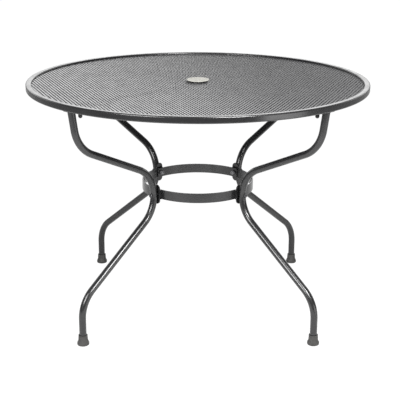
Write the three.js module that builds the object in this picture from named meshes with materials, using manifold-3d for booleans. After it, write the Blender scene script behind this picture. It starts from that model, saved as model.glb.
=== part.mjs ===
// Round steel garden table with an expanded-metal top. A rolled tube rim carries the mesh,
// four spokes run from the rim to a collar for the umbrella pole, and four S-bent tube legs
// are bolted to the spokes and, at their waist, to a ring of flat bars. A plug closes the
// pole hole. Millimetres, +Z up, origin on the floor under the middle of the top.

import * as THREE from 'three';
import { mergeVertices } from 'three/addons/utils/BufferGeometryUtils.js';
import Module from 'manifold-3d';

const wasm = await Module();
wasm.setup();

// Fits
const seatGap = 0.3;
const pinGap = 0.3;
const cutOverrun = 6;

// Top rim, a rolled tube of rounded rectangular section
const topHeight = 740;
const topDiameter = 1060;
const rimWidth = 18;
const rimDepth = 20;
const rimCorner = 4;
const rimWall = 1.5;
const drainDiameter = 6;

// Mesh sheet: diamonds point along Y, and a narrow plain band runs round the edge
const meshRecess = 5;
const meshThickness = 2;
const meshBand = 6;
const diamondShort = 50;
const diamondLong = 132;
const strandWidth = 10;
const smallestOpeningShare = 0.12;

// Collar and plug of the umbrella hole
const collarBore = 52;
const collarWall = 2;
const collarLength = 24;
const plugDiameter = 70;
const plugEdge = 1.5;
const plugWall = 2.3;
const plugSkirt = 17;
const plugPlay = 0.4;

// Spokes under the mesh, square-cut rectangular tube
const spokeWidth = 20;
const spokeWall = 1.5;

// Legs, one round tube each, bent three times in an upright plane. Insets run inward from the
// rim's inner wall, and drops run down from the table's top
const tubeDiameter = 22;
const tubeWall = 1.5;
const headInset = 9;
const shoulderInset = 27;
const shoulderDrop = 137;
const shoulderBend = 108;
const waistRadius = 193;
const waistDrop = 335;
const waistBend = 101;
const kneeHeight = 134;
const kneeBend = 102;
const footInset = 24;

// Plate on each leg head, and the black-capped bolt that holds it to its spoke
const plateThickness = 3;
const plateWidth = 26;
const plateReach = 18;
const knobInset = 32;
const knobDiameter = 12;
const knobLength = 25;
const knobStud = 6;
const knobThread = 5;

// Ring of flat bars at the waist, with a saddle plate between it and each leg
const barHeight = 30;
const barThickness = 4;
const barTail = 14;
const saddleWidth = 26;
const saddleHeight = 61;
const saddleThickness = 4;
const boltDiameter = 8;
const boltHeadDiameter = 13;
const boltHeadHeight = 5;
const nutAcross = 13;
const nutHeight = 6.5;
const nutDome = 4;

// Feet, flared plastic caps that the tube ends stand in. The flare is widest from its foot to
// its brim, and the cap narrows above it to its neck
const footHeight = 32;
const footFloor = 5;
const footTopDiameter = 27.6;
const footNeckDiameter = 29;
const footNeckHeight = 16;
const footFlareDiameter = 36;
const footFlareHeight = 8;
const footRoundHeight = 4;
const footBaseDiameter = 29;

// Counts of facets and steps
const rimSides = 72;
const collarSides = 28;
const tubeSides = 14;
const boreSides = 8;
const bendSteps = 5;
const waistSteps = 5;
const footSides = 16;
const boltSides = 12;
const nutSides = 6;
const holeSides = 12;
const barSteps = 18;
const saddleSteps = 6;
const cornerSteps = 2;
const domeSteps = 3;

// Quarters of a turn, anticlockwise from +X
const quarterTurn = Math.PI / 2;
const quarters = [0, 1, 2, 3];

// Places that follow from the sizes above
const rimOuter = topDiameter / 2;
const rimInner = rimOuter - rimWidth;
const rimBottom = topHeight - rimDepth;
const meshTop = topHeight - meshRecess;
const meshBottom = meshTop - meshThickness;
const collarOuter = collarBore / 2 + collarWall;
const tubeRadius = tubeDiameter / 2;
const headRadius = rimInner - headInset;
const shoulderRadius = rimInner - shoulderInset;
const shoulderHeight = topHeight - shoulderDrop;
const waistHeight = topHeight - waistDrop;
const footRadius = rimInner - footInset;
const plateTop = rimBottom - seatGap;
const plateBottom = plateTop - plateThickness;
const knobRadius = headRadius - knobInset;
const studHole = knobStud + 2 * pinGap;
const boltHole = boltDiameter + 2 * pinGap;
const saddleFace = waistRadius - tubeRadius - seatGap;
const outerBarFace = saddleFace - saddleThickness - seatGap;
const innerBarFace = outerBarFace - barThickness - seatGap;
const nutCorner = nutAcross / Math.sqrt(3);
const ringBore = (innerBarFace - barThickness) * Math.cos(barReach(innerBarFace) / barSteps) - seatGap;
const nutFace = flatReach(ringBore, nutCorner);

// Finishes
const coatedSteel = new THREE.MeshStandardMaterial({ color: 0x46474a, roughness: 0.42, metalness: 0.6 });
const coatedMesh = new THREE.MeshStandardMaterial({ color: 0x4c4d50, roughness: 0.5, metalness: 0.55 });
const coatedFastener = new THREE.MeshStandardMaterial({ color: 0x3d3e41, roughness: 0.35, metalness: 0.75 });
const blackPlastic = new THREE.MeshStandardMaterial({ color: 0x0d0d0f, roughness: 0.45, metalness: 0 });
const greyPlastic = new THREE.MeshStandardMaterial({ color: 0x474644, roughness: 0.65, metalness: 0 });
const palePlastic = new THREE.MeshStandardMaterial({ color: 0xe8e6da, roughness: 0.55, metalness: 0 });

const table = new THREE.Group();

// Names one piece, gives it its finish and hangs it in a group.
function addPiece(parent, name, geometry, material) {
  const mesh = new THREE.Mesh(geometry, material);
  mesh.name = name;
  parent.add(mesh);
  return mesh;
}

// Closed geometry to a solid that can be cut and joined.
function toSolid(geometry) {
  const bare = geometry.clone();
  bare.deleteAttribute('normal');
  bare.deleteAttribute('uv');
  const merged = mergeVertices(bare);
  const vertProperties = new Float32Array(merged.attributes.position.array);
  const triVerts = new Uint32Array(merged.index.array);
  return new wasm.Manifold(new wasm.Mesh({ numProp: 3, vertProperties, triVerts }));
}

// Solid back to a geometry.
function toGeometry(solid) {
  const data = solid.getMesh();
  const geometry = new THREE.BufferGeometry();
  geometry.setAttribute('position', new THREE.BufferAttribute(new Float32Array(data.vertProperties), 3));
  geometry.setIndex(new THREE.BufferAttribute(new Uint32Array(data.triVerts), 1));
  geometry.computeVertexNormals();
  return geometry;
}

// Geometry with other geometries cut out of it.
function cutFrom(geometry, cutters) {
  return toGeometry(cutters.reduce((solid, cutter) => solid.subtract(toSolid(cutter)), toSolid(geometry)));
}

// Corner points of a regular polygon whose corners lie on the radius.
function polygon(radius, sides) {
  return Array.from({ length: sides }, (_, side) => {
    const angle = (2 * Math.PI * side) / sides;
    return new THREE.Vector2(radius * Math.cos(angle), radius * Math.sin(angle));
  });
}

// Corner radius of a polygon that clears a round bar of the given radius.
function cleared(radius, sides) {
  return radius / Math.cos(Math.PI / sides);
}

// How far a flat-ended bar of the given half width reaches inside a round wall.
function flatReach(radius, halfWidth) {
  return Math.sqrt(radius * radius - halfWidth * halfWidth);
}

// Straight prism of an outline with optional holes, from one height to another along Z.
function prism(outline, holes, bottom, top) {
  const shape = new THREE.Shape(outline);
  shape.holes = holes.map((points) => new THREE.Path(points));
  const geometry = new THREE.ExtrudeGeometry(shape, { depth: top - bottom, bevelEnabled: false });
  return geometry.translate(0, 0, bottom);
}

// Profile of [radius, height] points turned about the Z axis.
function turned(profile, sides) {
  const points = profile.map(([radius, height]) => new THREE.Vector2(radius, height));
  return new THREE.LatheGeometry(points, sides).rotateX(quarterTurn);
}

// Round cutter along Z, centred on a point.
function drill(diameter, length, x, y, z) {
  const corner = cleared(diameter / 2, holeSides);
  const geometry = new THREE.CylinderGeometry(corner, corner, length, holeSides);
  return geometry.rotateX(quarterTurn).translate(x, y, z);
}

// Round cutter along X at a height, from one distance to another.
function radialDrill(diameter, from, to, height) {
  const corner = cleared(diameter / 2, holeSides);
  const geometry = new THREE.CylinderGeometry(corner, corner, to - from, holeSides);
  return geometry.rotateZ(quarterTurn).translate((from + to) / 2, 0, height);
}

// Quarter-round dome as [radius, height] points, from its tip on the axis out to its edge.
function dome(radius, tip, rise) {
  return Array.from({ length: domeSteps + 1 }, (_, step) => {
    const angle = (quarterTurn * step) / domeSteps;
    return [radius * Math.sin(angle), tip + rise * (1 - Math.cos(angle))];
  });
}

// Rounded rectangle of the rim's section, as [radius, height] points in order.
function rimSection(inset, steps) {
  const inner = rimInner + inset;
  const outer = rimOuter - inset;
  const bottom = rimBottom + inset;
  const top = topHeight - inset;
  const corner = Math.max(rimCorner - inset, 0);
  const centres = [
    [outer - corner, top - corner],
    [inner + corner, top - corner],
    [inner + corner, bottom + corner],
    [outer - corner, bottom + corner],
  ];
  const points = centres.flatMap(([x, y], quarter) => Array.from({ length: steps + 1 }, (_, step) => {
    const angle = quarterTurn * (quarter + step / steps);
    return [x + corner * Math.cos(angle), y + corner * Math.sin(angle)];
  }));
  return [...points, points[0]];
}

// Rim: a closed tube ring with a drain hole in its underside between each two legs.
function rim() {
  const bore = turned(rimSection(rimWall, 1), rimSides);
  const middle = (rimOuter + rimInner) / 2;
  const drains = quarters.map((quarter) => {
    const hole = drill(drainDiameter, 2 * rimWall, middle, 0, rimBottom + rimWall / 2);
    return hole.rotateZ(quarterTurn * quarter);
  });
  return cutFrom(turned(rimSection(0, cornerSteps), rimSides), [bore, ...drains]);
}

// Mesh sheet: a disc with staggered diamond openings, clipped by the edge band and the hub.
function meshSheet() {
  const discRadius = rimInner - seatGap;
  const holeRadius = collarOuter + seatGap;
  const halfShort = diamondShort / 2;
  const halfLong = diamondLong / 2;
  const side = Math.hypot(halfShort, halfLong);
  const openShare = 1 - (strandWidth * side) / (2 * halfShort * halfLong);
  const openX = halfShort * openShare;
  const openY = halfLong * openShare;
  const low = meshBottom - cutOverrun;
  const high = meshTop + cutOverrun;
  const field = toSolid(prism(polygon(discRadius - meshBand, rimSides), [], low, high));
  const hub = toSolid(prism(polygon(plugDiameter / 2, collarSides), [], low - cutOverrun, high + cutOverrun));
  const diamond = [[openX, 0], [0, openY], [-openX, 0], [0, -openY]].map(([x, y]) => new THREE.Vector2(x, y));
  const opening = toSolid(prism(diamond, [], low, high));
  const fieldLessHub = field.subtract(hub);
  const cutters = [toSolid(prism(polygon(holeRadius, collarSides), [], low, high))];
  const columns = Math.ceil(discRadius / halfShort);
  const rows = Math.ceil(discRadius / halfLong);
  for (let column = -columns; column <= columns; column += 1) {
    for (let row = -rows; row <= rows; row += 1) {
      if ((column + row) % 2 === 0) {
        const placed = opening.translate([column * halfShort, row * halfLong, 0]);
        const clipped = placed.intersect(fieldLessHub);
        if (clipped.volume() > smallestOpeningShare * opening.volume()) cutters.push(clipped);
      }
    }
  }
  const sheet = toSolid(prism(polygon(discRadius, rimSides), [], meshBottom, meshTop));
  return toGeometry(sheet.subtract(wasm.Manifold.union(cutters)));
}

// Collar: a short upright tube, its top level with the mesh.
function collar() {
  const bore = polygon(collarBore / 2, collarSides);
  return prism(polygon(collarOuter, collarSides), [bore], meshTop - collarLength, meshTop);
}

// Plug: a flat cap with an eased edge and a hollow skirt that hangs in the collar.
function plug() {
  const capRadius = plugDiameter / 2;
  const capBottom = meshTop + seatGap;
  const skirtOuter = collarBore / 2 - plugPlay;
  const skirtInner = skirtOuter - plugWall;
  const skirtBottom = capBottom - plugSkirt;
  const profile = [
    [0, topHeight - plugWall],
    [skirtInner, topHeight - plugWall],
    [skirtInner, skirtBottom],
    [skirtOuter, skirtBottom],
    [skirtOuter, capBottom],
    [capRadius - plugEdge / 2, capBottom],
    [capRadius, capBottom + plugEdge / 2],
    [capRadius, topHeight - plugEdge],
    [capRadius - plugEdge, topHeight],
    [0, topHeight],
  ];
  return turned(profile, collarSides);
}

// Spoke: an open-ended rectangular tube from the collar to the rim, drilled for the stud.
function spoke() {
  const half = spokeWidth / 2;
  const start = collarOuter + seatGap;
  const end = flatReach(rimInner * Math.cos(Math.PI / rimSides) - seatGap, half);
  const bottom = rimBottom;
  const top = meshBottom - seatGap;
  const box = (inset) => [
    new THREE.Vector2(-half + inset, bottom + inset),
    new THREE.Vector2(half - inset, bottom + inset),
    new THREE.Vector2(half - inset, top - inset),
    new THREE.Vector2(-half + inset, top - inset),
  ];
  const bar = prism(box(0), [box(spokeWall)], start, end);
  bar.rotateX(quarterTurn).rotateZ(quarterTurn);
  return cutFrom(bar, [drill(studHole, 2 * spokeWall, knobRadius, 0, bottom + spokeWall / 2)]);
}

// Stations along an arc of the leg's centreline, each with its direction of travel.
function arcStations(centre, radius, from, to, steps) {
  const turn = Math.sign(to - from);
  return Array.from({ length: steps + 1 }, (_, step) => {
    const angle = from + ((to - from) * step) / steps;
    const out = new THREE.Vector2(Math.cos(angle), Math.sin(angle));
    const point = out.clone().multiplyScalar(radius).add(centre);
    return { point, heading: new THREE.Vector2(-out.y * turn, out.x * turn) };
  });
}

// Stations round a bend that rounds off the corner between two neighbouring points.
function bendStations(before, corner, after, radius, steps) {
  const back = before.clone().sub(corner).normalize();
  const ahead = after.clone().sub(corner).normalize();
  const halfAngle = Math.acos(back.dot(ahead)) / 2;
  const middle = back.clone().add(ahead).normalize();
  const centre = corner.clone().addScaledVector(middle, radius / Math.sin(halfAngle));
  const reach = radius / Math.tan(halfAngle);
  const from = corner.clone().addScaledVector(back, reach).sub(centre).angle();
  const span = Math.PI - 2 * halfAngle;
  const turn = Math.sign(ahead.cross(back));
  return arcStations(centre, radius, from, from + turn * span, steps);
}

// Point where a straight line from a point touches a circle, on the chosen side.
function touchPoint(from, centre, radius, side) {
  const arm = from.clone().sub(centre);
  const swing = Math.acos(radius / arm.length());
  return arm.setLength(radius).rotateAround(new THREE.Vector2(), side * swing).add(centre);
}

// Corners and waist arc of a leg's centreline: x is the distance from the table's axis.
function legPlan() {
  const head = new THREE.Vector2(headRadius, plateBottom - seatGap);
  const shoulder = new THREE.Vector2(shoulderRadius, shoulderHeight);
  const centre = new THREE.Vector2(waistRadius + waistBend, waistHeight);
  const knee = new THREE.Vector2(footRadius, kneeHeight);
  const foot = new THREE.Vector2(footRadius, footFloor + seatGap);
  const armTouch = touchPoint(shoulder, centre, waistBend, 1);
  const shinTouch = touchPoint(knee, centre, waistBend, -1);
  const from = armTouch.clone().sub(centre).angle();
  const to = shinTouch.clone().sub(centre).angle();
  return { head, shoulder, centre, knee, foot, armTouch, shinTouch, from, to };
}

// Centreline of one leg in its upright plane, from the head down to the foot.
function legStations() {
  const { head, shoulder, centre, knee, foot, armTouch, shinTouch, from, to } = legPlan();
  const down = new THREE.Vector2(0, -1);
  return [
    { point: head, heading: down },
    ...bendStations(head, shoulder, armTouch, shoulderBend, bendSteps),
    ...arcStations(centre, waistBend, from, Math.PI, waistSteps),
    ...arcStations(centre, waistBend, Math.PI, to, waistSteps).slice(1),
    ...bendStations(shinTouch, knee, foot, kneeBend, bendSteps),
    { point: foot, heading: down },
  ];
}

// Path through given stations, so that straight runs take a single step.
class StationPath extends THREE.Curve {
  constructor(stations) {
    super();
    this.stations = stations;
  }

  stationAt(share) {
    return this.stations[Math.round(share * (this.stations.length - 1))];
  }

  getPointAt(share, target = new THREE.Vector3()) {
    const { point } = this.stationAt(share);
    return target.set(point.x, 0, point.y);
  }

  getPoint(share, target) {
    return this.getPointAt(share, target);
  }

  getTangentAt(share, target = new THREE.Vector3()) {
    const { heading } = this.stationAt(share);
    return target.set(heading.x, 0, heading.y);
  }
}

// Leg: a hollow tube along the centreline, with level ends and a bolt hole at the waist.
function leg() {
  const stations = legStations();
  const shape = new THREE.Shape(polygon(tubeRadius, tubeSides));
  shape.holes = [new THREE.Path(polygon(tubeRadius - tubeWall, boreSides))];
  const settings = { steps: stations.length - 1, extrudePath: new StationPath(stations) };
  const tube = new THREE.ExtrudeGeometry(shape, settings);
  const reach = tubeRadius + cutOverrun;
  return cutFrom(tube, [radialDrill(boltHole, waistRadius - reach, waistRadius + reach, waistHeight)]);
}

// Leg plate: rounded about its bolt, and running out under the rim.
function legPlate() {
  const half = plateWidth / 2;
  const outline = new THREE.Shape();
  outline.moveTo(headRadius + plateReach, -half);
  outline.lineTo(headRadius + plateReach, half);
  outline.lineTo(knobRadius, half);
  outline.absarc(knobRadius, 0, half, quarterTurn, 3 * quarterTurn, false);
  const points = outline.extractPoints(saddleSteps / 2 + 1).shape;
  const plate = prism(points, [], plateBottom, plateTop);
  return cutFrom(plate, [drill(studHole, plateThickness + cutOverrun, knobRadius, 0, plateBottom)]);
}

// Knob bolt: a long black cap with a domed end under the plate, and its stud up into the spoke.
function knobBolt() {
  const radius = knobDiameter / 2;
  const top = plateBottom - seatGap;
  const studTop = rimBottom + spokeWall + knobThread;
  const profile = [
    ...dome(radius, top - knobLength, radius),
    [radius, top],
    [knobStud / 2, top],
    [knobStud / 2, studTop],
    [0, studTop],
  ];
  return turned(profile, boltSides).translate(knobRadius, 0, 0);
}

// Half the angle that a bar of the ring spans, measured at its outer face.
function barReach(outerFace) {
  return quarterTurn / 2 + barTail / outerFace;
}

// Flat bar of the ring: a quarter arc whose tails run past its two bolts.
function ringBar(outerFace) {
  const innerFace = outerFace - barThickness;
  const reach = barReach(outerFace);
  const arc = (radius, from, to) => Array.from({ length: barSteps + 1 }, (_, step) => {
    const angle = from + ((to - from) * step) / barSteps;
    return new THREE.Vector2(radius * Math.cos(angle), radius * Math.sin(angle));
  });
  const outline = [...arc(outerFace, -reach, reach), ...arc(innerFace, reach, -reach)];
  const bar = prism(outline, [], waistHeight - barHeight / 2, waistHeight + barHeight / 2);
  const drills = [-1, 1].map((side) => {
    const cutter = radialDrill(boltHole, innerFace - cutOverrun, outerFace + cutOverrun, waistHeight);
    return cutter.rotateZ((side * quarterTurn) / 2);
  });
  return cutFrom(bar, drills);
}

// Saddle plate: a flat plate with round ends, upright between the ring and the leg.
function saddlePlate() {
  const half = saddleWidth / 2;
  const rise = saddleHeight / 2 - half;
  const outline = new THREE.Shape();
  outline.absarc(0, rise, half, 0, Math.PI, false);
  outline.absarc(0, -rise, half, Math.PI, 2 * Math.PI, false);
  const points = outline.extractPoints(saddleSteps / 2).shape;
  const innerFace = saddleFace - saddleThickness;
  const plate = prism(points, [], innerFace, saddleFace);
  plate.rotateX(quarterTurn).rotateZ(quarterTurn).translate(0, 0, waistHeight);
  const hole = radialDrill(boltHole, innerFace - cutOverrun, saddleFace + cutOverrun, waistHeight);
  return cutFrom(plate, [hole]);
}

// Ring bolt: domed head outside the leg, shank through the tube, the plate and both bars.
function ringBolt() {
  const radius = boltHeadDiameter / 2;
  const { from, to } = legPlan();
  const rise = radius * Math.tan(Math.max(Math.PI - from, to - Math.PI) / (2 * waistSteps));
  const headFace = waistRadius + tubeRadius + rise + seatGap;
  const tip = nutFace - nutHeight + seatGap;
  const profile = [
    [0, tip],
    [boltDiameter / 2, tip],
    [boltDiameter / 2, headFace],
    ...dome(radius, headFace + boltHeadHeight, -boltHeadHeight).reverse(),
  ];
  return turned(profile, boltSides).rotateY(quarterTurn).translate(0, 0, waistHeight);
}

// Cap nut: a hexagon with a domed end, drilled from the face that meets the ring.
function ringNut() {
  const hexagon = prism(polygon(nutCorner, nutSides), [], -nutHeight, 0);
  const crownRadius = (nutAcross / 2) * Math.cos(Math.PI / holeSides);
  const crown = turned([
    ...dome(crownRadius, -nutHeight - nutDome, nutDome),
    [crownRadius, -nutHeight / 2],
    [0, -nutHeight / 2],
  ], holeSides);
  const bore = drill(boltHole, 2 * nutHeight, 0, 0, 0);
  const nut = toSolid(hexagon).add(toSolid(crown)).subtract(toSolid(bore));
  return toGeometry(nut).rotateY(quarterTurn).translate(nutFace, 0, waistHeight);
}

// Foot: a flared cap with a socket for the tube, flat where it stands.
function foot() {
  const bore = cleared(tubeRadius + seatGap, footSides);
  const profile = [
    [0, 0],
    [footBaseDiameter / 2, 0],
    [footFlareDiameter / 2, footRoundHeight],
    [footFlareDiameter / 2, footFlareHeight],
    [footNeckDiameter / 2, footNeckHeight],
    [footTopDiameter / 2, footHeight],
    [bore, footHeight],
    [bore, footFloor],
    [0, footFloor],
  ];
  return turned(profile, footSides).translate(footRadius, 0, 0);
}

addPiece(table, 'top_rim', rim(), coatedSteel);
addPiece(table, 'top_mesh', meshSheet(), coatedMesh);
addPiece(table, 'umbrella_collar', collar(), coatedSteel);
addPiece(table, 'umbrella_plug', plug(), palePlastic);

const legParts = [
  ['spoke', spoke(), coatedSteel],
  ['leg_plate', legPlate(), coatedSteel],
  ['knob_bolt', knobBolt(), blackPlastic],
  ['leg', leg(), coatedSteel],
  ['saddle_plate', saddlePlate(), coatedSteel],
  ['ring_bolt', ringBolt(), coatedFastener],
  ['ring_nut', ringNut(), coatedFastener],
  ['foot', foot(), greyPlastic],
];

// The legs stand midway between the four sides, counted anticlockwise from the right.
const legSides = ['back_right', 'back_left', 'front_left', 'front_right'];
for (const quarter of quarters) {
  const station = new THREE.Group();
  station.rotation.z = quarterTurn * (quarter + 1 / 2);
  for (const [name, geometry, material] of legParts) {
    addPiece(station, `${name}_${legSides[quarter]}`, geometry, material);
  }
  table.add(station);
}

// The right and left bars lie outside the back and front ones, and all four lap at the legs.
const barSides = ['right', 'back', 'left', 'front'];
for (const quarter of quarters) {
  const face = quarter % 2 === 0 ? outerBarFace : innerBarFace;
  const bar = addPiece(table, `ring_bar_${barSides[quarter]}`, ringBar(face), coatedSteel);
  bar.rotation.z = quarterTurn * quarter;
}

export default table;
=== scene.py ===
"""Round steel garden table: expanded-metal top, rolled rim, four bent tube legs and a waist ring.

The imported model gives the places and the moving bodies. Each sub-assembly is a class that holds
its sizes in metres, builds its pieces with bmesh operators and dresses them in their finish.
"""

import logging
import math
from dataclasses import dataclass, field, replace
from enum import Enum

import bmesh
import bpy
from mathutils import Matrix, Vector


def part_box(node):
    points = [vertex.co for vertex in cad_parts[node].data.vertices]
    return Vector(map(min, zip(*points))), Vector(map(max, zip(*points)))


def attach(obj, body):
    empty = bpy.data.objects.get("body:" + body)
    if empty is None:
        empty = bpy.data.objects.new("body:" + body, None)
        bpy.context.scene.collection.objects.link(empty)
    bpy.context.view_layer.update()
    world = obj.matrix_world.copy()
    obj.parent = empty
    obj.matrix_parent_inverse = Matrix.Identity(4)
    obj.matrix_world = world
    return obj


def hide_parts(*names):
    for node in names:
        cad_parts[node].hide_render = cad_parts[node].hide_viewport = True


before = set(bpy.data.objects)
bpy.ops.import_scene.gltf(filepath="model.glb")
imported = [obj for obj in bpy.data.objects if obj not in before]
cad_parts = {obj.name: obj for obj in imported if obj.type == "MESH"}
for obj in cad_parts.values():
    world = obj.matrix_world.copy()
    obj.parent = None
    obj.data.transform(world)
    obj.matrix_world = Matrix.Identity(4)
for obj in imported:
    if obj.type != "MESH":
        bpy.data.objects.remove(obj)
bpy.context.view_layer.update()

logging.basicConfig(level=logging.INFO, format="%(message)s")
log = logging.getLogger("umbrella_table")

UP = Vector((0, 0, 1))
MERGE = 0.000002  # points nearer than this become one
SMOOTH_ANGLE = math.radians(32)  # edges flatter than this are shaded smooth
AREA_WEIGHT = 100  # the larger faces set the shading along an edge
SEAT_GAP = 0.0003  # left free between two pieces that would touch
BEVEL = 0.0005  # eased edges of bars and plates
FINE_BEVEL = 0.0004  # eased edges of nuts and feet
BEVEL_STEPS = 2
NOISE_DETAIL = {"Grain": 1, "Patch": 3}
PATCH_START, PATCH_END = 0.3, 0.7  # noise values between which a patch fades in
WHITE = (1, 1, 1, 1)
Colour = tuple[float, float, float]
Curve = tuple[tuple[float, float], ...]


class Body(Enum):
    """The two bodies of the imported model."""

    TABLE = "table"
    PLUG = "plug"


class Station(Enum):
    """A place round the table's axis, given as its turn from +X in degrees."""

    @property
    def turn(self) -> Matrix:
        """Turns a shape built in the XZ plane, on the side of +X, to this place."""
        return Matrix.Rotation(math.radians(self.value), 4, "Z")


class Corner(Station):
    """The four legs."""

    BACK_RIGHT = 45
    BACK_LEFT = 135
    FRONT_LEFT = 225
    FRONT_RIGHT = 315

    @property
    def label(self) -> str:
        """The leg's name as the nodes spell it."""
        return self.name.lower()


class BarSide(Station):
    """The four bars of the waist ring."""

    RIGHT = 0
    BACK = 90
    LEFT = 180
    FRONT = 270

    @property
    def node(self) -> str:
        """The bar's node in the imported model."""
        return f"ring_bar_{self.name.lower()}"


class Cut(Enum):
    """What a boolean does with its second shape."""

    JOIN = "UNION"
    REMOVE = "DIFFERENCE"
    KEEP = "INTERSECT"


@dataclass(frozen=True)
class Finish:
    """One surface finish and the material that shows it.

    Attributes:
        slot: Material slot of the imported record.
        colour: Base colour, linear.
        shade: Colour of the patches, linear.
        roughness: Roughness between the patches.
        roughness_spread: How much rougher the patches are.
        grain: Size of the surface's fine relief in metres.
        relief: Height of that relief in metres.
        patch: Size of the patches in metres.
        tone: Tells finishes of one slot apart.
    """

    slot: str
    colour: Colour
    shade: Colour
    roughness: float
    roughness_spread: float
    grain: float
    relief: float
    patch: float
    tone: str = "look"

    def material(self) -> bpy.types.Material:
        """Builds the material, or returns the one built before.

        Returns:
            A node material whose colour, roughness and relief vary over the surface.
        """
        name = f"{self.slot}_{self.tone}"
        made = bpy.data.materials.get(name)
        if made:
            return made
        made = bpy.data.materials.new(name)
        made.use_nodes = True
        nodes, links = made.node_tree.nodes, made.node_tree.links
        shader = nodes["Principled BSDF"]
        place = nodes.new("ShaderNodeTexCoord")
        texture = nodes.new("ShaderNodeGroup")
        texture.node_tree = surface_texture()
        texture.inputs["Grain Scale"].default_value = 1 / self.grain
        texture.inputs["Patch Scale"].default_value = 1 / self.patch
        links.new(place.outputs["Object"], texture.inputs["Vector"])
        tint = nodes.new("ShaderNodeMix")
        tint.data_type = "RGBA"
        tint.inputs["A"].default_value = (*self.colour, 1)
        tint.inputs["B"].default_value = (*self.shade, 1)
        links.new(texture.outputs["Patches"], tint.inputs["Factor"])
        links.new(tint.outputs["Result"], shader.inputs["Base Color"])
        gloss = nodes.new("ShaderNodeMapRange")
        gloss.inputs["To Min"].default_value = self.roughness
        gloss.inputs["To Max"].default_value = self.roughness + self.roughness_spread
        links.new(texture.outputs["Patches"], gloss.inputs["Value"])
        links.new(gloss.outputs["Result"], shader.inputs["Roughness"])
        bump = nodes.new("ShaderNodeBump")
        bump.inputs["Strength"].default_value = 1
        bump.inputs["Distance"].default_value = self.relief
        links.new(texture.outputs["Grain"], bump.inputs["Height"])
        links.new(bump.outputs["Normal"], shader.inputs["Normal"])
        return made


FRAME_COAT = Finish(
    slot="coated_frame",
    colour=(0.011, 0.011, 0.0115),
    shade=(0.008, 0.008, 0.0085),
    roughness=0.2,
    roughness_spread=0.05,
    grain=0.0016,
    relief=0.000004,
    patch=0.05,
)
MESH_COAT = Finish(
    slot="coated_mesh",
    colour=(0.055, 0.055, 0.057),
    shade=(0.046, 0.046, 0.048),
    roughness=0.14,
    roughness_spread=0.08,
    grain=0.0012,
    relief=0.000003,
    patch=0.03,
)
FASTENER_COAT = Finish(
    slot="coated_fastener",
    colour=(0.110, 0.110, 0.114),
    shade=(0.090, 0.090, 0.094),
    roughness=0.2,
    roughness_spread=0.06,
    grain=0.0008,
    relief=0.000003,
    patch=0.01,
)
DARK_FASTENER = replace(
    FASTENER_COAT, colour=(0.022, 0.022, 0.024), shade=(0.016, 0.016, 0.018), tone="dark",
)
BLACK_CAP = Finish(
    slot="black_cap",
    colour=(0.006, 0.006, 0.007),
    shade=(0.009, 0.009, 0.009),
    roughness=0.4,
    roughness_spread=0.1,
    grain=0.0006,
    relief=0.00001,
    patch=0.01,
)
FOOT_PLASTIC = Finish(
    slot="foot_plastic",
    colour=(0.028, 0.027, 0.025),
    shade=(0.022, 0.021, 0.020),
    roughness=0.55,
    roughness_spread=0.15,
    grain=0.0005,
    relief=0.00003,
    patch=0.012,
)
PLUG_PLASTIC = Finish(
    slot="plug_plastic",
    colour=(0.36, 0.355, 0.32),
    shade=(0.32, 0.315, 0.285),
    roughness=0.55,
    roughness_spread=0.1,
    grain=0.0006,
    relief=0.00001,
    patch=0.02,
)


def surface_texture() -> bpy.types.NodeTree:
    """Builds the node group that every finish shares, or returns the one built before.

    Returns:
        A group that puts out Grain, a fine relief, and Patches, a soft large mottle.
    """
    group = bpy.data.node_groups.get("surface_texture")
    if group:
        return group
    group = bpy.data.node_groups.new("surface_texture", "ShaderNodeTree")
    for name, kind in (("Vector", "Vector"), ("Grain Scale", "Float"), ("Patch Scale", "Float")):
        group.interface.new_socket(name, in_out="INPUT", socket_type="NodeSocket" + kind)
    for name in ("Grain", "Patches"):
        group.interface.new_socket(name, in_out="OUTPUT", socket_type="NodeSocketFloat")
    entry = group.nodes.new("NodeGroupInput")
    result = group.nodes.new("NodeGroupOutput")
    for name, detail in NOISE_DETAIL.items():
        noise = group.nodes.new("ShaderNodeTexNoise")
        noise.inputs["Detail"].default_value = detail
        group.links.new(entry.outputs["Vector"], noise.inputs["Vector"])
        group.links.new(entry.outputs[name + " Scale"], noise.inputs["Scale"])
        if name == "Grain":
            group.links.new(noise.outputs["Fac"], result.inputs["Grain"])
            continue
        spread = group.nodes.new("ShaderNodeMapRange")
        spread.interpolation_type = "SMOOTHSTEP"
        spread.inputs["From Min"].default_value = PATCH_START
        spread.inputs["From Max"].default_value = PATCH_END
        group.links.new(noise.outputs["Fac"], spread.inputs["Value"])
        group.links.new(spread.outputs["Result"], result.inputs["Patches"])
    return group


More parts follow.
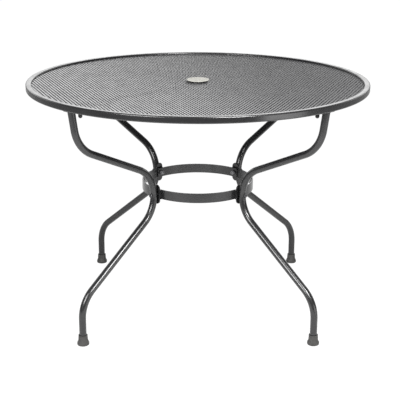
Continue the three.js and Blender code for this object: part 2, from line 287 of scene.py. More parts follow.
class Pen:
    """Draws a profile in the XZ plane with extruded and spun vertices."""

    def __init__(self, x: float, z: float) -> None:
        """Puts the pen down at a point."""
        self.shape = bmesh.new()
        self.tip = bmesh.ops.create_vert(self.shape, co=(x, 0, z))["vert"][0]
        self.start = self.tip

    def line(self, x: float, z: float) -> "Pen":
        """Draws a straight line to a point."""
        made = bmesh.ops.extrude_vert_indiv(self.shape, verts=[self.tip])
        self.tip = made["verts"][0]
        self.tip.co = (x, 0, z)
        return self

    def arc(self, x: float, z: float, degrees: float, steps: int) -> "Pen":
        """Draws an arc about a centre.

        Args:
            x: Centre along X.
            z: Centre along Z.
            degrees: Turn, positive from +X towards +Z.
            steps: Number of straight steps.

        Returns:
            The pen, at the arc's end.
        """
        made = bmesh.ops.spin(
            self.shape, geom=[self.tip], cent=(x, 0, z), axis=(0, 1, 0),
            angle=-math.radians(degrees), steps=steps,
        )
        self.tip = made["geom_last"][0]
        return self

    def close(self) -> bmesh.types.BMesh:
        """Joins the end to the start and returns the outline."""
        self.shape.edges.new((self.tip, self.start))
        return self.done()

    def done(self) -> bmesh.types.BMesh:
        """Drops doubled points and returns the outline."""
        bmesh.ops.remove_doubles(self.shape, verts=self.shape.verts, dist=MERGE)
        return self.shape


def rounded_box(
    left: float, right: float, low: float, high: float, corner: float, steps: int,
) -> bmesh.types.BMesh:
    """Draws a rectangle with round corners in the XZ plane.

    Args:
        left: Lowest X.
        right: Highest X.
        low: Lowest Z.
        high: Highest Z.
        corner: Radius of the corners.
        steps: Steps in each corner.

    Returns:
        The closed outline.
    """
    pen = Pen(right, low + corner)
    runs = (
        (right, high - corner, right - corner, high - corner),
        (left + corner, high, left + corner, high - corner),
        (left, low + corner, left + corner, low + corner),
        (right - corner, low, right - corner, low + corner),
    )
    for x, z, centre_x, centre_z in runs:
        pen.line(x, z).arc(centre_x, centre_z, 90, steps)
    return pen.done()


def cylinder(radius: float, depth: float, sides: int) -> bmesh.types.BMesh:
    """Makes a closed upright cylinder about the origin.

    Args:
        radius: Distance of its corners from the axis.
        depth: Whole height.
        sides: Number of flat sides.

    Returns:
        A new bmesh.
    """
    shape = bmesh.new()
    bmesh.ops.create_cone(
        shape, cap_ends=True, segments=sides, radius1=radius, radius2=radius, depth=depth,
    )
    return shape


def turned(profile: bmesh.types.BMesh, steps: int) -> bmesh.types.BMesh:
    """Spins a profile a full turn about the Z axis into a closed shell.

    Args:
        profile: Outline in the XZ plane, closed or with both ends on the axis.
        steps: Number of steps in the turn.

    Returns:
        The same bmesh with its faces pointing out.
    """
    bmesh.ops.spin(
        profile, geom=profile.verts[:] + profile.edges[:], cent=(0, 0, 0), axis=UP,
        angle=math.tau, steps=steps, use_merge=True,
    )
    bmesh.ops.remove_doubles(profile, verts=profile.verts, dist=MERGE)
    bmesh.ops.recalc_face_normals(profile, faces=profile.faces)
    return profile


def extruded(outline: bmesh.types.BMesh, depth: float) -> bmesh.types.BMesh:
    """Fills a closed outline in the XZ plane and extrudes it both ways along Y.

    Args:
        outline: Closed outline.
        depth: Whole depth.

    Returns:
        The same bmesh, a closed prism centred on the XZ plane.
    """
    bmesh.ops.translate(outline, verts=outline.verts, vec=(0, -depth / 2, 0))
    ends = bmesh.ops.contextual_create(outline, geom=outline.edges[:])["faces"]
    made = bmesh.ops.extrude_face_region(outline, geom=ends, use_keep_orig=True)
    moved = [part for part in made["geom"] if isinstance(part, bmesh.types.BMVert)]
    bmesh.ops.translate(outline, verts=moved, vec=(0, depth, 0))
    bmesh.ops.recalc_face_normals(outline, faces=outline.faces)
    return outline


def softened(shape: bmesh.types.BMesh, width: float) -> bmesh.types.BMesh:
    """Bevels every sharp edge of a shape.

    Args:
        shape: Shape to soften.
        width: Width of the bevel.

    Returns:
        The same bmesh.
    """
    sharp = [edge for edge in shape.edges if edge.calc_face_angle(0) > SMOOTH_ANGLE]
    bmesh.ops.bevel(
        shape, geom=sharp, offset=width, offset_type="OFFSET", affect="EDGES",
        segments=BEVEL_STEPS, profile=0.5, material=-1, clamp_overlap=True,
    )
    return shape


def moved(shape: bmesh.types.BMesh, *steps: Matrix) -> bmesh.types.BMesh:
    """Moves a shape by matrices, the first one first, and returns it."""
    for step in steps:
        bmesh.ops.transform(shape, matrix=step, verts=shape.verts)
    return shape


def together(*shapes: bmesh.types.BMesh) -> bmesh.types.BMesh:
    """Puts several shapes into the first one and frees the others."""
    first = shapes[0]
    for other in shapes[1:]:
        carrier = bpy.data.meshes.new("carrier")
        other.to_mesh(carrier)
        other.free()
        first.from_mesh(carrier)
        bpy.data.meshes.remove(carrier)
    return first


def linked(name: str, data: bpy.types.ID) -> bpy.types.Object:
    """Makes an object of some data and links it to the scene."""
    made = bpy.data.objects.new(name, data)
    bpy.context.scene.collection.objects.link(made)
    return made


def link_shape(shape: bmesh.types.BMesh, name: str) -> bpy.types.Object:
    """Turns a shape into an object of the scene and frees the bmesh."""
    mesh = bpy.data.meshes.new(name)
    shape.to_mesh(mesh)
    shape.free()
    return linked(name, mesh)


def applied(thing: bpy.types.Object) -> bmesh.types.BMesh:
    """Applies an object's modifiers, removes the object and returns its shape.

    Args:
        thing: Object whose modifiers are live.

    Returns:
        A new bmesh of the evaluated mesh.
    """
    bpy.context.view_layer.update()
    evaluated = thing.evaluated_get(bpy.context.evaluated_depsgraph_get())
    shape = bmesh.new()
    shape.from_mesh(evaluated.to_mesh())
    evaluated.to_mesh_clear()
    bpy.data.objects.remove(thing)
    return shape


def cut(shape: bmesh.types.BMesh, tool: bmesh.types.BMesh, how: Cut) -> bmesh.types.BMesh:
    """Joins, removes or keeps what two closed shapes share.

    Args:
        shape: Shape that is changed.
        tool: Second shape, used up by the cut.
        how: What the cut does.

    Returns:
        The cut shape.
    """
    work = link_shape(shape, "cut_work")
    blade = link_shape(tool, "cut_blade")
    boolean = work.modifiers.new("cut", "BOOLEAN")
    boolean.operation = how.value
    boolean.solver = "MANIFOLD"
    boolean.object = blade
    result = applied(work)
    bpy.data.objects.remove(blade)
    return result


class Sweep:
    """Pushes a round section along straight runs and bends in the XZ plane."""

    def __init__(self, radius: float, sides: int, x: float, z: float) -> None:
        """Starts a round section that faces along Z, at a point."""
        self.shape = bmesh.new()
        ring = bmesh.ops.create_circle(self.shape, radius=radius, segments=sides, cap_ends=False)
        bmesh.ops.translate(self.shape, verts=ring["verts"], vec=(x, 0, z))
        self.section = self.shape.verts[:] + self.shape.edges[:]

    def run(self, x: float, z: float) -> "Sweep":
        """Pushes the section straight by a step along X and Z."""
        edges = [part for part in self.section if isinstance(part, bmesh.types.BMEdge)]
        made = bmesh.ops.extrude_edge_only(self.shape, edges=edges)["geom"]
        self.section = [part for part in made if not isinstance(part, bmesh.types.BMFace)]
        verts = [part for part in self.section if isinstance(part, bmesh.types.BMVert)]
        bmesh.ops.translate(self.shape, verts=verts, vec=(x, 0, z))
        return self

    def bend(self, centre: Vector, turn: float, steps: int) -> "Sweep":
        """Turns the section about a centre in the XZ plane, by an angle in radians."""
        made = bmesh.ops.spin(
            self.shape, geom=self.section, cent=(centre.x, 0, centre.y), axis=(0, 1, 0),
            angle=-turn, steps=steps,
        )
        self.section = made["geom_last"]
        return self

    def done(self) -> bmesh.types.BMesh:
        """Closes both ends and returns the tube."""
        bmesh.ops.holes_fill(self.shape, edges=self.shape.edges[:], sides=0)
        bmesh.ops.recalc_face_normals(self.shape, faces=self.shape.faces)
        return self.shape


@dataclass
class Assembly:
    """A sub-assembly whose pieces ride on one body."""

    body: Body = Body.TABLE

    def add(
        self, shape: bmesh.types.BMesh, name: str, finish: Finish, node: str,
        smooth: float = SMOOTH_ANGLE,
    ) -> None:
        """Makes a finished piece of a shape and lets it stand for a node.

        Args:
            shape: Closed shape in its place.
            name: Name of the piece.
            finish: Its finish.
            node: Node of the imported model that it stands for.
            smooth: Edges flatter than this angle are shaded smooth.
        """
        piece = link_shape(shape, name)
        piece.data.shade_smooth()
        piece.data.set_sharp_from_angle(angle=smooth)
        piece.data.materials.append(finish.material())
        even = piece.modifiers.new("even_shading", "WEIGHTED_NORMAL")
        even.weight = AREA_WEIGHT
        even.keep_sharp = True
        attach(piece, self.body.value)
        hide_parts(node)
        log.info("%s: %d faces for %s", name, len(piece.data.polygons), node)


@dataclass
class TableTop(Assembly):
    """Rim, expanded-metal sheet, collar and the four spokes under the sheet."""

    rim_width: float = 0.018
    rim_corner: float = 0.004
    rim_wall: float = 0.0015
    rim_steps: int = 288
    corner_steps: int = 6
    drain_radius: float = 0.003
    drain_sides: int = 24
    net_short: float = 0.010
    net_long: float = 0.0265
    strand_width: float = 0.0034
    strand_thickness: float = 0.0036
    strand_tilt: float = math.radians(-21)
    strand_smooth: float = math.radians(5)
    bond_length: float = 0.006
    collar_bore: float = 0.052
    collar_sides: int = 64
    spoke_width: float = 0.020
    spoke_wall: float = 0.0015
    spoke_corner: float = 0.002
    spoke_corner_steps: int = 4

    def __post_init__(self) -> None:
        """Takes the rim's and the collar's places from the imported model."""
        low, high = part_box("top_rim")
        self.outer = high.x
        self.inner = high.x - self.rim_width
        self.bottom, self.top = low.z, high.z
        self.collar_low, self.collar_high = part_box("umbrella_collar")

    def build(self) -> None:
        """Builds and dresses every piece of the top."""
        self.add(self.rim(), "rim", FRAME_COAT, "top_rim")
        self.add(self.net(), "expanded_metal", MESH_COAT, "top_mesh", smooth=self.strand_smooth)
        self.add(self.collar(), "collar", FRAME_COAT, "umbrella_collar")
        for corner in Corner:
            spoke = moved(self.spoke(), corner.turn)
            self.add(spoke, f"{corner.label}_spoke", FRAME_COAT, f"spoke_{corner.label}")

    def rim_section(self, inset: float) -> bmesh.types.BMesh:
        """Draws the rim's rounded section, set in by a distance."""
        return rounded_box(
            self.inner + inset, self.outer - inset, self.bottom + inset, self.top - inset,
            self.rim_corner - inset, self.corner_steps,
        )

    def rim(self) -> bmesh.types.BMesh:
        """Rolls the rim tube and drills its drain holes."""
        skin = turned(self.rim_section(0), self.rim_steps)
        bore = turned(self.rim_section(self.rim_wall), self.rim_steps)
        tube = cut(skin, bore, Cut.REMOVE)
        middle = (self.outer + self.inner) / 2
        place = Matrix.Translation((middle, 0, self.bottom + self.rim_wall / 2))
        drills = []
        for side in BarSide:
            drill = cylinder(self.drain_radius, 2 * self.rim_wall, self.drain_sides)
            drills.append(moved(drill, place, side.turn))
        return cut(tube, together(*drills), Cut.REMOVE)

    def net_cell(self) -> bmesh.types.BMesh:
        """Shapes one bond of the expanded metal with the two strands that leave it to the right.

        Returns:
            An open cell: its missing faces are the ones where neighbouring cells join on.
        """
        cell = bmesh.new()
        bmesh.ops.create_grid(cell, x_segments=2, y_segments=1, size=1)
        half = self.bond_length / 2
        shaped = Matrix.Diagonal((self.strand_width, self.strand_thickness / 2, 1, 1))
        upright = Matrix.Rotation(math.pi / 2, 4, "X")
        tilt = Matrix.Rotation(-self.strand_tilt, 4, "Y")
        moved(cell, shaped, upright, tilt, Matrix.Translation((0, -half, 0)))
        near = cell.faces[:]
        made = bmesh.ops.extrude_face_region(cell, geom=near, use_keep_orig=True)["geom"]
        bmesh.ops.translate(
            cell, vec=(0, self.bond_length, 0),
            verts=[part for part in made if isinstance(part, bmesh.types.BMVert)],
        )
        far = [part for part in made if isinstance(part, bmesh.types.BMFace)]
        ends = {1: far, -1: near}
        spent = []
        for way, faces in ends.items():
            left, right = sorted(faces, key=lambda face: face.calc_center_median().x)
            reach = Vector((self.net_short / 2, way * (self.net_long / 2 - self.bond_length), 0))
            shift = reach - (right.calc_center_median() - left.calc_center_median())
            strand = bmesh.ops.extrude_discrete_faces(cell, faces=[right])["faces"][0]
            bmesh.ops.translate(cell, verts=strand.verts, vec=shift)
            spent += [left, strand]
        bmesh.ops.delete(cell, geom=spent, context="FACES")
        return cell

    def net(self) -> bmesh.types.BMesh:
        """Repeats the cell into a sheet and trims it round to the rim and the collar."""
        cell = self.net_cell()
        twin = moved(cell.copy(), Matrix.Translation((self.net_short / 2, self.net_long / 2, 0)))
        sheet = link_shape(together(cell, twin), "sheet")
        for axis, pitch in enumerate((self.net_short, self.net_long)):
            count = 2 * math.ceil(self.inner / pitch) + 1
            array = sheet.modifiers.new("repeat", "ARRAY")
            array.use_relative_offset = False
            array.use_constant_offset = True
            array.constant_offset_displace = [pitch * (step == axis) for step in range(3)]
            array.count = count
            array.use_merge_vertices = True
            array.merge_threshold = MERGE
            to_middle = -Vector(array.constant_offset_displace) * (count // 2)
            sheet.data.transform(Matrix.Translation(to_middle))
        field_of_cells = applied(sheet)
        bmesh.ops.holes_fill(field_of_cells, edges=field_of_cells.edges[:], sides=0)
        bmesh.ops.recalc_face_normals(field_of_cells, faces=field_of_cells.faces)
        low, high = self.net_height
        moved(field_of_cells, Matrix.Translation((0, 0, (low + high) / 2)))
        collar_radius = self.collar_high.x
        reach = self.rim_width
        ring = Pen(collar_radius, low - reach).line(self.inner, low - reach)
        ring.line(self.inner, high + reach).line(collar_radius, high + reach)
        return cut(field_of_cells, turned(ring.close(), self.rim_steps), Cut.KEEP)

    @property
    def net_height(self) -> tuple[float, float]:
        """Lowest and highest point of the expanded metal."""
        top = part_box("top_mesh")[1].z
        tilt = abs(self.strand_tilt)
        rise = 2 * self.strand_width * math.sin(tilt) + self.strand_thickness * math.cos(tilt)
        return top - rise, top

    def collar(self) -> bmesh.types.BMesh:
        """Turns the collar, a short upright tube with eased ends."""
        bore, outer = self.collar_bore / 2, self.collar_high.x
        low, high = self.collar_low.z, self.collar_high.z
        tube = Pen(bore, low).line(outer, low).line(outer, high).line(bore, high).close()
        return softened(turned(tube, self.collar_sides), SEAT_GAP)

    def spoke(self) -> bmesh.types.BMesh:
        """Extrudes one spoke, an open rectangular tube from the collar to the rim."""
        half = self.spoke_width / 2
        top = self.net_height[0] - SEAT_GAP
        start, end = self.collar_high.x, math.sqrt(self.inner**2 - half**2)
        walls = []
        for inset in (0, self.spoke_wall):
            side = half - inset
            section = rounded_box(
                -side, side, self.bottom + inset, top - inset,
                self.spoke_corner - inset, self.spoke_corner_steps,
            )
            walls.append(extruded(section, end - start + inset))
        tube = cut(walls[0], walls[1], Cut.REMOVE)
        quarter = Matrix.Rotation(math.pi / 2, 4, "Z")
        return moved(tube, quarter, Matrix.Translation(((start + end) / 2, 0, 0)))


@dataclass
class UmbrellaPlug(Assembly):
    """The loose plug that closes the umbrella hole."""

    body: Body = Body.PLUG
    wall: float = 0.0022
    edge: float = 0.0008
    skirt_radius: float = 0.0256
    cap_thickness: float = 0.0022
    edge_steps: int = 4
    sides: int = 96

    def build(self) -> None:
        """Turns the plug: a flat cap with a rolled edge over a hollow skirt."""
        low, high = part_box("umbrella_plug")
        radius, edge = high.x, self.edge
        inner = self.skirt_radius - self.wall
        under = high.z - self.cap_thickness
        pen = Pen(0, high.z - self.wall).line(inner, high.z - self.wall).line(inner, low.z)
        pen.line(self.skirt_radius, low.z).line(self.skirt_radius, under)
        pen.line(radius - edge, under).arc(radius - edge, under + edge, 90, self.edge_steps)
        pen.line(radius, high.z - edge).arc(radius - edge, high.z - edge, 90, self.edge_steps)
        pen.line(0, high.z)
        plug = turned(pen.done(), self.sides)
        self.add(plug, "umbrella_hole_plug", PLUG_PLASTIC, "umbrella_plug")


@dataclass
class Leg(Assembly):
    """One bent tube leg with its head plate, black-capped bolt and foot."""

    corner: Corner = Corner.FRONT_LEFT
    rim_inner: float = 0.512
    tube_radius: float = 0.011
    head_inset: float = 0.009
    shoulder_inset: float = 0.027
    shoulder_height: float = 0.603
    shoulder_bend: float = 0.108
    waist_radius: float = 0.193
    waist_height: float = 0.405
    waist_bend: float = 0.101
    knee_height: float = 0.134
    knee_bend: float = 0.102
    foot_inset: float = 0.024
    tube_sides: int = 40
    bend_steps: int = 20
    plate_width: float = 0.026
    plate_reach: float = 0.018
    plate_steps: int = 20
    knob_inset: float = 0.032
    knob_radius: float = 0.006
    knob_steps: int = 10
    knob_sides: int = 32
    stud_radius: float = 0.003
    foot_top: float = 0.0138
    foot_neck: float = 0.0145
    foot_neck_height: float = 0.016
    foot_flare: float = 0.018
    foot_flare_height: float = 0.008
    foot_base: float = 0.0145
    foot_socket: float = 0.0113
    foot_floor: float = 0.005
    foot_bead: float = 0.0012
    foot_brim: float = 0.003
    foot_brim_steps: int = 6
    foot_sides: int = 48

    @property
    def head_place(self) -> float:
        """Distance of the leg's head from the table's axis."""
        return self.rim_inner - self.head_inset

    @property
    def knob_place(self) -> float:
        """Distance of the head bolt from the table's axis."""
        return self.head_place - self.knob_inset

    @property
    def foot_place(self) -> float:
        """Distance of the foot from the table's axis."""
        return self.rim_inner - self.foot_inset

    def build(self) -> None:
        """Builds and dresses every piece of this leg."""
        label = self.corner.label
        parts = (
            (self.tube(), "leg", FRAME_COAT, "leg"),
            (self.plate(), "head_plate", FRAME_COAT, "leg_plate"),
            (self.knob(), "head_bolt", BLACK_CAP, "knob_bolt"),
            (self.foot(), "foot_cap", FOOT_PLASTIC, "foot"),
        )
        for shape, name, finish, node in parts:
            self.add(moved(shape, self.corner.turn), f"{label}_{name}", finish, f"{node}_{label}")

    def place(self, node: str) -> tuple[float, float]:
        """Lowest and highest point of one of this leg's nodes."""
        low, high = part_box(f"{node}_{self.corner.label}")
        return low.z, high.z

    def tube(self) -> bmesh.types.BMesh:
        """Bends the leg's tube: shoulder, waist and knee, with level ends."""
        low, high = self.place("leg")
        head = Vector((self.head_place, high))
        shoulder = Vector((self.rim_inner - self.shoulder_inset, self.shoulder_height))
        waist = Vector((self.waist_radius + self.waist_bend, self.waist_height))
        knee = Vector((self.foot_place, self.knee_height))
        foot = Vector((knee.x, low))
        arm_touch = touch_point(shoulder, waist, self.waist_bend, 1)
        shin_touch = touch_point(knee, waist, self.waist_bend, -1)
        sweep = Sweep(self.tube_radius, self.tube_sides, head.x, head.y)
        first = CornerBend(head, shoulder, arm_touch, self.shoulder_bend)
        last = CornerBend(shin_touch, knee, foot, self.knee_bend)
        sweep.run(*(first.start - head)).bend(first.centre, first.turn, self.bend_steps)
        sweep.run(*(arm_touch - first.end))
        waist_turn = (arm_touch - waist).angle_signed(shin_touch - waist)
        sweep.bend(waist, -waist_turn, 2 * self.bend_steps)
        sweep.run(*(last.start - shin_touch)).bend(last.centre, last.turn, self.bend_steps)
        sweep.run(*(foot - last.end))
        return sweep.done()

    def plate(self) -> bmesh.types.BMesh:
        """Cuts the head plate: round about its bolt, square under the rim."""
        low, high = self.place("leg_plate")
        half = self.plate_width / 2
        end = self.head_place + self.plate_reach
        pen = Pen(end, -half).line(end, half).line(self.knob_place, half)
        pen.arc(self.knob_place, 0, 180, self.plate_steps)
        plate = extruded(pen.close(), high - low)
        lying = Matrix.Rotation(math.pi / 2, 4, "X")
        return softened(moved(plate, lying, Matrix.Translation((0, 0, (low + high) / 2))), BEVEL)

    def knob(self) -> bmesh.types.BMesh:
        """Turns the bolt's long black cap, domed below, with its stud."""
        low, high = self.place("knob_bolt")
        radius = self.knob_radius
        top = self.place("leg_plate")[0] - SEAT_GAP
        pen = Pen(0, low).arc(0, low + radius, 90, self.knob_steps).line(radius, top)
        pen.line(self.stud_radius, top).line(self.stud_radius, high).line(0, high)
        knob = turned(pen.done(), self.knob_sides)
        return moved(knob, Matrix.Translation((self.knob_place, 0, 0)))

    def foot(self) -> bmesh.types.BMesh:
        """Turns the foot, a flared cap with a beaded mouth and a rounded brim."""
        low, high = self.place("foot")
        bead, brim = self.foot_bead, self.foot_brim
        pen = Pen(0, low).line(self.foot_base, low).line(self.foot_flare - brim, low)
        pen.arc(self.foot_flare - brim, low + brim, 90, self.foot_brim_steps)
        pen.line(self.foot_flare, self.foot_flare_height)
        pen.line(self.foot_neck, self.foot_neck_height)
        pen.line(self.foot_neck - bead / 2, high - 4 * bead)
        pen.line(self.foot_top, high - 2 * bead)
        pen.line(self.foot_top, high).line(self.foot_socket, high)
        pen.line(self.foot_socket, self.foot_floor).line(0, self.foot_floor)
        cap = softened(turned(pen.done(), self.foot_sides), FINE_BEVEL)
        return moved(cap, Matrix.Translation((self.foot_place, 0, 0)))


@dataclass(frozen=True)
class CornerBend:
    """The round bend between two straight runs that meet in a corner of the XZ plane."""

    before: Vector
    corner: Vector
    after: Vector
    radius: float

    @property
    def half_angle(self) -> float:
        """Half the angle between the two runs."""
        return (self.before - self.corner).angle(self.after - self.corner) / 2

    @property
    def reach(self) -> float:
        """Distance from the corner to where the bend starts and ends."""
        return self.radius / math.tan(self.half_angle)

    @property
    def start(self) -> Vector:
        """Where the bend leaves the first run."""
        return self.corner + (self.before - self.corner).normalized() * self.reach

    @property
    def end(self) -> Vector:
        """Where the bend meets the second run."""
        return self.corner + (self.after - self.corner).normalized() * self.reach

    @property
    def centre(self) -> Vector:
        """Centre of the bend."""
        middle = (self.before - self.corner).normalized() + (self.after - self.corner).normalized()
        return self.corner + middle.normalized() * self.radius / math.sin(self.half_angle)

    @property
    def turn(self) -> float:
        """Turn of the bend in radians, positive from +X towards +Z."""
        return -(self.start - self.centre).angle_signed(self.end - self.centre)


def touch_point(start: Vector, centre: Vector, radius: float, side: int) -> Vector:
    """Finds where a straight line from a point touches a circle.

    Args:
        start: Where the line starts.
        centre: Centre of the circle.
        radius: Its radius.
        side: 1 or -1, for the touch point anticlockwise or clockwise of the line to the centre.

    Returns:
        The touch point.
    """
    arm = start - centre
    swing = Matrix.Rotation(side * math.acos(radius / arm.length), 2)
    return centre + swing @ arm.normalized() * radius


@dataclass
class WaistRing(Assembly):
    """The ring of four flat bars with its saddle plates, bolts and cap nuts.

    The curves of the bolt's head and the nut's dome are pairs: share of the radius, share of the
    height.
    """

    bar_thickness: float = 0.004
    bar_tail: float = 0.014
    bar_steps: int = 48
    saddle_width: float = 0.026
    saddle_thickness: float = 0.004
    saddle_steps: int = 24
    bolt_radius: float = 0.004
    bolt_sides: int = 40
    head_radius: float = 0.0065
    head_height: float = 0.005
    head_curve: Curve = ((1, 0.25), (0.92, 0.55), (0.7, 0.82), (0.38, 0.96), (0, 1))
    nut_across: float = 0.013
    nut_height: float = 0.0065
    nut_dome: float = 0.004
    nut_curve: Curve = ((0.94, 0.4), (0.7, 0.78), (0.36, 0.96), (0, 1))
    nut_sides: int = 32
    saddle_face: float = 0.1817
    head_face: float = 0.20495
    nut_face: float = 0.1684
    height: float = 0.405

    def build(self) -> None:
        """Builds and dresses the ring."""
        for side in BarSide:
            self.add(self.bar(side), f"{side.name.lower()}_bar", FRAME_COAT, side.node)
        for corner in Corner:
            label = corner.label
            parts = (
                (self.saddle(), "saddle", FRAME_COAT, "saddle_plate"),
                (self.bolt(), "waist_bolt", DARK_FASTENER, "ring_bolt"),
                (self.nut(), "cap_nut", FASTENER_COAT, "ring_nut"),
            )
            for shape, name, finish, node in parts:
                self.add(moved(shape, corner.turn), f"{label}_{name}", finish, f"{node}_{label}")

    def bar(self, side: BarSide) -> bmesh.types.BMesh:
        """Rolls one flat bar of the ring to its quarter turn and eases its edges."""
        low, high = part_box(side.node)
        reaches = {
            BarSide.RIGHT: high.x,
            BarSide.BACK: high.y,
            BarSide.LEFT: -low.x,
            BarSide.FRONT: -low.y,
        }
        outer = reaches[side]
        reach = math.pi / 4 + self.bar_tail / outer
        bar = bmesh.new()
        bmesh.ops.create_grid(bar, x_segments=1, y_segments=1, size=0.5)
        bmesh.ops.delete(bar, geom=bar.faces[:], context="FACES_ONLY")
        size = Matrix.Diagonal((self.bar_thickness, high.z - low.z, 1, 1))
        upright = Matrix.Rotation(math.pi / 2, 4, "X")
        place = Matrix.Translation((outer - self.bar_thickness / 2, 0, (low.z + high.z) / 2))
        start = Matrix.Rotation(math.radians(side.value) - reach, 4, "Z")
        moved(bar, size, upright, place, start)
        bmesh.ops.spin(
            bar, geom=bar.verts[:] + bar.edges[:], cent=(0, 0, 0), axis=UP,
            angle=2 * reach, steps=self.bar_steps,
        )
        bmesh.ops.holes_fill(bar, edges=bar.edges[:], sides=0)
        bmesh.ops.recalc_face_normals(bar, faces=bar.faces)
        return softened(bar, BEVEL)

    def saddle(self) -> bmesh.types.BMesh:
        """Cuts one saddle plate, upright with round ends."""
        low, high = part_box("saddle_plate_back_right")
        half = self.saddle_width / 2
        rise = (high.z - low.z) / 2 - half
        pen = Pen(half, -rise).line(half, rise).arc(0, rise, 180, self.saddle_steps)
        pen.line(-half, -rise).arc(0, -rise, 180, self.saddle_steps)
        plate = extruded(pen.done(), self.saddle_thickness)
        quarter = Matrix.Rotation(math.pi / 2, 4, "Z")
        place = Matrix.Translation((self.saddle_face - self.saddle_thickness / 2, 0, self.height))
        return softened(moved(plate, quarter, place), BEVEL)

    def bolt(self) -> bmesh.types.BMesh:
        """Turns one ring bolt: a low domed head and its shank."""
        tip = self.nut_face - self.nut_height
        pen = Pen(0, tip).line(self.bolt_radius, tip).line(self.bolt_radius, self.head_face)
        pen.line(self.head_radius, self.head_face)
        for across, up in self.head_curve:
            pen.line(self.head_radius * across, self.head_face + self.head_height * up)
        bolt = turned(pen.done(), self.bolt_sides)
        lying = Matrix.Rotation(math.pi / 2, 4, "Y")
        return moved(bolt, lying, Matrix.Translation((0, 0, self.height)))

    def nut(self) -> bmesh.types.BMesh:
        """Shapes one cap nut: a hexagon with a domed end towards the table's middle."""
        hexagon = cylinder(self.nut_across / math.sqrt(3), self.nut_height, 6)
        softened(hexagon, FINE_BEVEL)
        radius, rise = self.nut_across / 2 - SEAT_GAP, self.nut_height / 2
        dome = Pen(0, 0).line(radius, 0).line(radius, rise)
        for across, up in self.nut_curve:
            dome.line(radius * across, rise + self.nut_dome * up)
        nut = cut(hexagon, turned(dome.done(), self.nut_sides), Cut.JOIN)
        inward = Matrix.Rotation(-math.pi / 2, 4, "Y")
        place = Matrix.Translation((self.nut_face - rise, 0, self.height))
        return moved(nut, inward, place)


@dataclass(frozen=True)
class Fade:
    """A smooth change of a level between two values of one part of a direction or a place.

    Attributes:
        axis: Part of the direction or the place: X to the right, Y to the back, Z up.
        start: Value where the change starts.
        end: Value where it ends.
        before: Level on the start's side.
        after: Level on the end's side.
    """

    axis: str
    start: float
    end: float
    before: float
    after: float

    def node(self, tree: bpy.types.NodeTree, axes: bpy.types.Node) -> bpy.types.NodeSocket:
        """Builds the change as a Map Range node.

        Args:
            tree: Node tree that the node is added to.
            axes: Separate XYZ node of the direction or the place.

        Returns:
            The socket of the level.
        """
        step = tree.nodes.new("ShaderNodeMapRange")
        step.interpolation_type = "SMOOTHSTEP"
        step.inputs["From Min"].default_value = self.start
        step.inputs["From Max"].default_value = self.end
        step.inputs["To Min"].default_value = self.before
        step.inputs["To Max"].default_value = self.after
        tree.links.new(axes.outputs[self.axis], step.inputs["Value"])
        return step.outputs["Result"]


# Light of the room by direction: a wall is the product of its fades, the room the sum of them.
BACK_WALL = (
    Fade("Y", 0.10, 0.50, 0, 2.8),
    Fade("X", -0.20, -0.10, 0.85, 1),
    Fade("X", 0.15, 0.25, 1, 0.75),
    Fade("Z", 0.05, 0.21, 0.15, 1),
    Fade("Z", 0.25, 0.42, 1, 0.33),
    Fade("Z", 0.60, 0.85, 1, 0),
)
FRONT_WALL = (Fade("Y", -0.30, -0.70, 0.08, 0.35), Fade("Z", 0.35, 0.80, 1, 0))
CEILING = (Fade("Z", 0.35, 0.80, 0, 0.30),)
ROOM = (BACK_WALL, FRONT_WALL, CEILING)

# Colour of the floor's paper, darker towards the front as painted shade, and how white glossy
# surfaces see it, by place in metres.
FLOOR_PAINTED_SHADE = Fade("Y", -2.4, -0.8, 0.35, 0.85)
FLOOR_WHITE = (
    Fade("Y", 0.2, 0.8, 0, 1),
    Fade("X", -2.2, -1.2, 0, 1),
    Fade("X", 1.2, 2.2, 1, 0),
)


@dataclass(frozen=True)
class Softbox:
    """One soft lamp that faces the table's waist.

    Attributes:
        name: Name of the lamp.
        azimuth: Degrees to the right of the camera's side.
        elevation: Degrees above the waist.
        distance: Metres from the waist.
        width: Width in metres.
        height: Height in metres.
        radiance: Brightness of its face.
    """

    name: str
    azimuth: float
    elevation: float
    distance: float
    width: float
    height: float
    radiance: float


WAIST = Vector((0, 0, 0.4))  # the point that the lamps face
SOFTBOXES = (
    Softbox("softbox_left", -34, 23, 2.4, 0.9, 0.9, 21),
    Softbox("softbox_right", 21, 39, 2.2, 0.65, 0.9, 42),
    Softbox("fill_card", 50, -2, 2.5, 1.2, 0.7, 4),
)


def axes_of(tree: bpy.types.NodeTree, output: str) -> bpy.types.Node:
    """Splits one output of the texture coordinates into its three parts.

    Args:
        tree: Node tree that the nodes are added to.
        output: Name of the output.

    Returns:
        The Separate XYZ node.
    """
    place = tree.nodes.new("ShaderNodeTexCoord")
    axes = tree.nodes.new("ShaderNodeSeparateXYZ")
    tree.links.new(place.outputs[output], axes.inputs["Vector"])
    return axes


def joined(
    tree: bpy.types.NodeTree, operation: str, first: bpy.types.NodeSocket | None,
    second: bpy.types.NodeSocket,
) -> bpy.types.NodeSocket:
    """Joins two sockets with a Math node.

    Args:
        tree: Node tree that the node is added to.
        operation: What the node does.
        first: First socket, or None to pass the second one on.
        second: Second socket.

    Returns:
        The socket of the result.
    """
    if first is None:
        return second
    made = tree.nodes.new("ShaderNodeMath")
    made.operation = operation
    tree.links.new(first, made.inputs[0])
    tree.links.new(second, made.inputs[1])
    return made.outputs["Value"]


def level(
    tree: bpy.types.NodeTree, axes: bpy.types.Node, fades: tuple[Fade, ...],
) -> bpy.types.NodeSocket:
    """Multiplies several changes.

    Args:
        tree: Node tree that the nodes are added to.
        axes: Separate XYZ node of the direction or the place.
        fades: The changes.

    Returns:
        The socket of their product.
    """
    product = None
    for fade in fades:
        product = joined(tree, "MULTIPLY", product, fade.node(tree, axes))
    return product


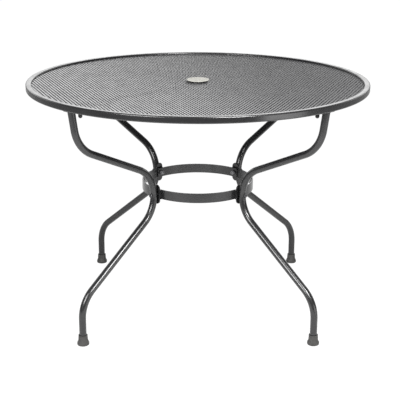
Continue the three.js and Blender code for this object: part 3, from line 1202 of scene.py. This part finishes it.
@dataclass
class Studio:
    """Pale floor, soft light and the camera at the photograph's angle."""

    camera_place: Vector = field(default_factory=lambda: Vector((0.01249, -3.1215, 1.32825)))
    camera_turn: float = math.radians(-0.76)
    camera_yaw: float = math.radians(0.09)
    camera_pitch: float = math.radians(-17.47)
    camera_roll: float = math.radians(0.2)
    lens: float = 91.25
    sensor: float = 36
    sight: float = 100
    floor_size: float = 30
    floor_share: float = 0.9
    floor_glow: float = 1.09

    def build(self) -> None:
        """Sets up the camera, the floor, the world and the lamps."""
        self.camera()
        self.floor()
        self.world()
        for softbox in SOFTBOXES:
            self.hang(softbox)
        bpy.context.scene.view_settings.view_transform = "Standard"

    def camera(self) -> None:
        """Places the camera as the photograph's was, solved from the table's outline."""
        camera = bpy.data.cameras.new("camera")
        camera.lens = self.lens
        camera.sensor_width = self.sensor
        camera.clip_end = self.sight
        placed = linked("camera", camera)
        placed.matrix_world = (
            Matrix.Rotation(self.camera_turn, 4, "Z")
            @ Matrix.Translation(self.camera_place)
            @ Matrix.Rotation(self.camera_yaw, 4, "Z")
            @ Matrix.Rotation(math.pi / 2 + self.camera_pitch, 4, "X")
            @ Matrix.Rotation(self.camera_roll, 4, "Z")
        )
        bpy.context.scene.camera = placed

    def floor(self) -> None:
        """Lays the floor, which keeps the table's shadow.

        The camera sees it nearly white. Glossy surfaces see its white only behind the table.
        """
        shape = bmesh.new()
        bmesh.ops.create_grid(shape, x_segments=1, y_segments=1, size=self.floor_size / 2)
        floor = link_shape(shape, "floor")
        made = bpy.data.materials.new("white_floor")
        made.use_nodes = True
        nodes, links = made.node_tree.nodes, made.node_tree.links
        nodes.clear()
        paper = nodes.new("ShaderNodeBsdfDiffuse")
        axes = axes_of(made.node_tree, "Object")
        # The paper darkens towards the front: painted shade, so that what mirrors the front floor
        # looks dim.
        links.new(FLOOR_PAINTED_SHADE.node(made.node_tree, axes), paper.inputs["Color"])
        glow = nodes.new("ShaderNodeEmission")
        glow.inputs["Strength"].default_value = self.floor_glow
        path = nodes.new("ShaderNodeLightPath")
        white = joined(
            made.node_tree, "MULTIPLY", path.outputs["Is Glossy Ray"],
            level(made.node_tree, axes, FLOOR_WHITE),
        )
        seen = joined(made.node_tree, "ADD", path.outputs["Is Camera Ray"], white)
        share = nodes.new("ShaderNodeMath")
        share.operation = "MULTIPLY"
        share.inputs[1].default_value = self.floor_share
        blend = nodes.new("ShaderNodeMixShader")
        end = nodes.new("ShaderNodeOutputMaterial")
        links.new(seen, share.inputs[0])
        links.new(share.outputs["Value"], blend.inputs["Fac"])
        links.new(paper.outputs["BSDF"], blend.inputs[1])
        links.new(glow.outputs["Emission"], blend.inputs[2])
        links.new(blend.outputs["Shader"], end.inputs["Surface"])
        floor.data.materials.append(made)

    def world(self) -> None:
        """Lights the room as ROOM says; camera and transmission rays see plain white."""
        world = bpy.data.worlds.new("studio")
        world.use_nodes = True
        bpy.context.scene.world = world
        nodes, links = world.node_tree.nodes, world.node_tree.links
        back = nodes["Background"]
        axes = axes_of(world.node_tree, "Generated")
        light = None
        for fades in ROOM:
            light = joined(world.node_tree, "ADD", light, level(world.node_tree, axes, fades))
        path = nodes.new("ShaderNodeLightPath")
        seen = joined(
            world.node_tree, "MAXIMUM", path.outputs["Is Camera Ray"],
            path.outputs["Is Transmission Ray"],
        )
        choice = nodes.new("ShaderNodeMix")
        choice.inputs["B"].default_value = 1
        links.new(seen, choice.inputs["Factor"])
        links.new(light, choice.inputs["A"])
        links.new(choice.outputs["Result"], back.inputs["Strength"])
        back.inputs["Color"].default_value = WHITE

    def hang(self, softbox: Softbox) -> None:
        """Hangs one softbox in its place, out of the camera's sight."""
        lamp = bpy.data.lights.new(softbox.name, "AREA")
        lamp.shape = "RECTANGLE"
        lamp.size, lamp.size_y = softbox.width, softbox.height
        lamp.energy = softbox.radiance * math.pi * softbox.width * softbox.height
        placed = linked(softbox.name, lamp)
        swing = Matrix.Rotation(math.radians(softbox.azimuth), 4, "Z")
        lift = Matrix.Rotation(math.radians(90 - softbox.elevation), 4, "X")
        out = Matrix.Translation((0, 0, softbox.distance))
        placed.matrix_world = Matrix.Translation(WAIST) @ swing @ lift @ out
        placed.visible_camera = False


def main() -> None:
    """Builds the table's sub-assemblies in order, then the studio."""
    legs = [Leg(corner=corner) for corner in Corner]
    for assembly in (TableTop(), UmbrellaPlug(), *legs, WaistRing()):
        assembly.build()
    Studio().build()


if __name__ == "__main__":
    main()
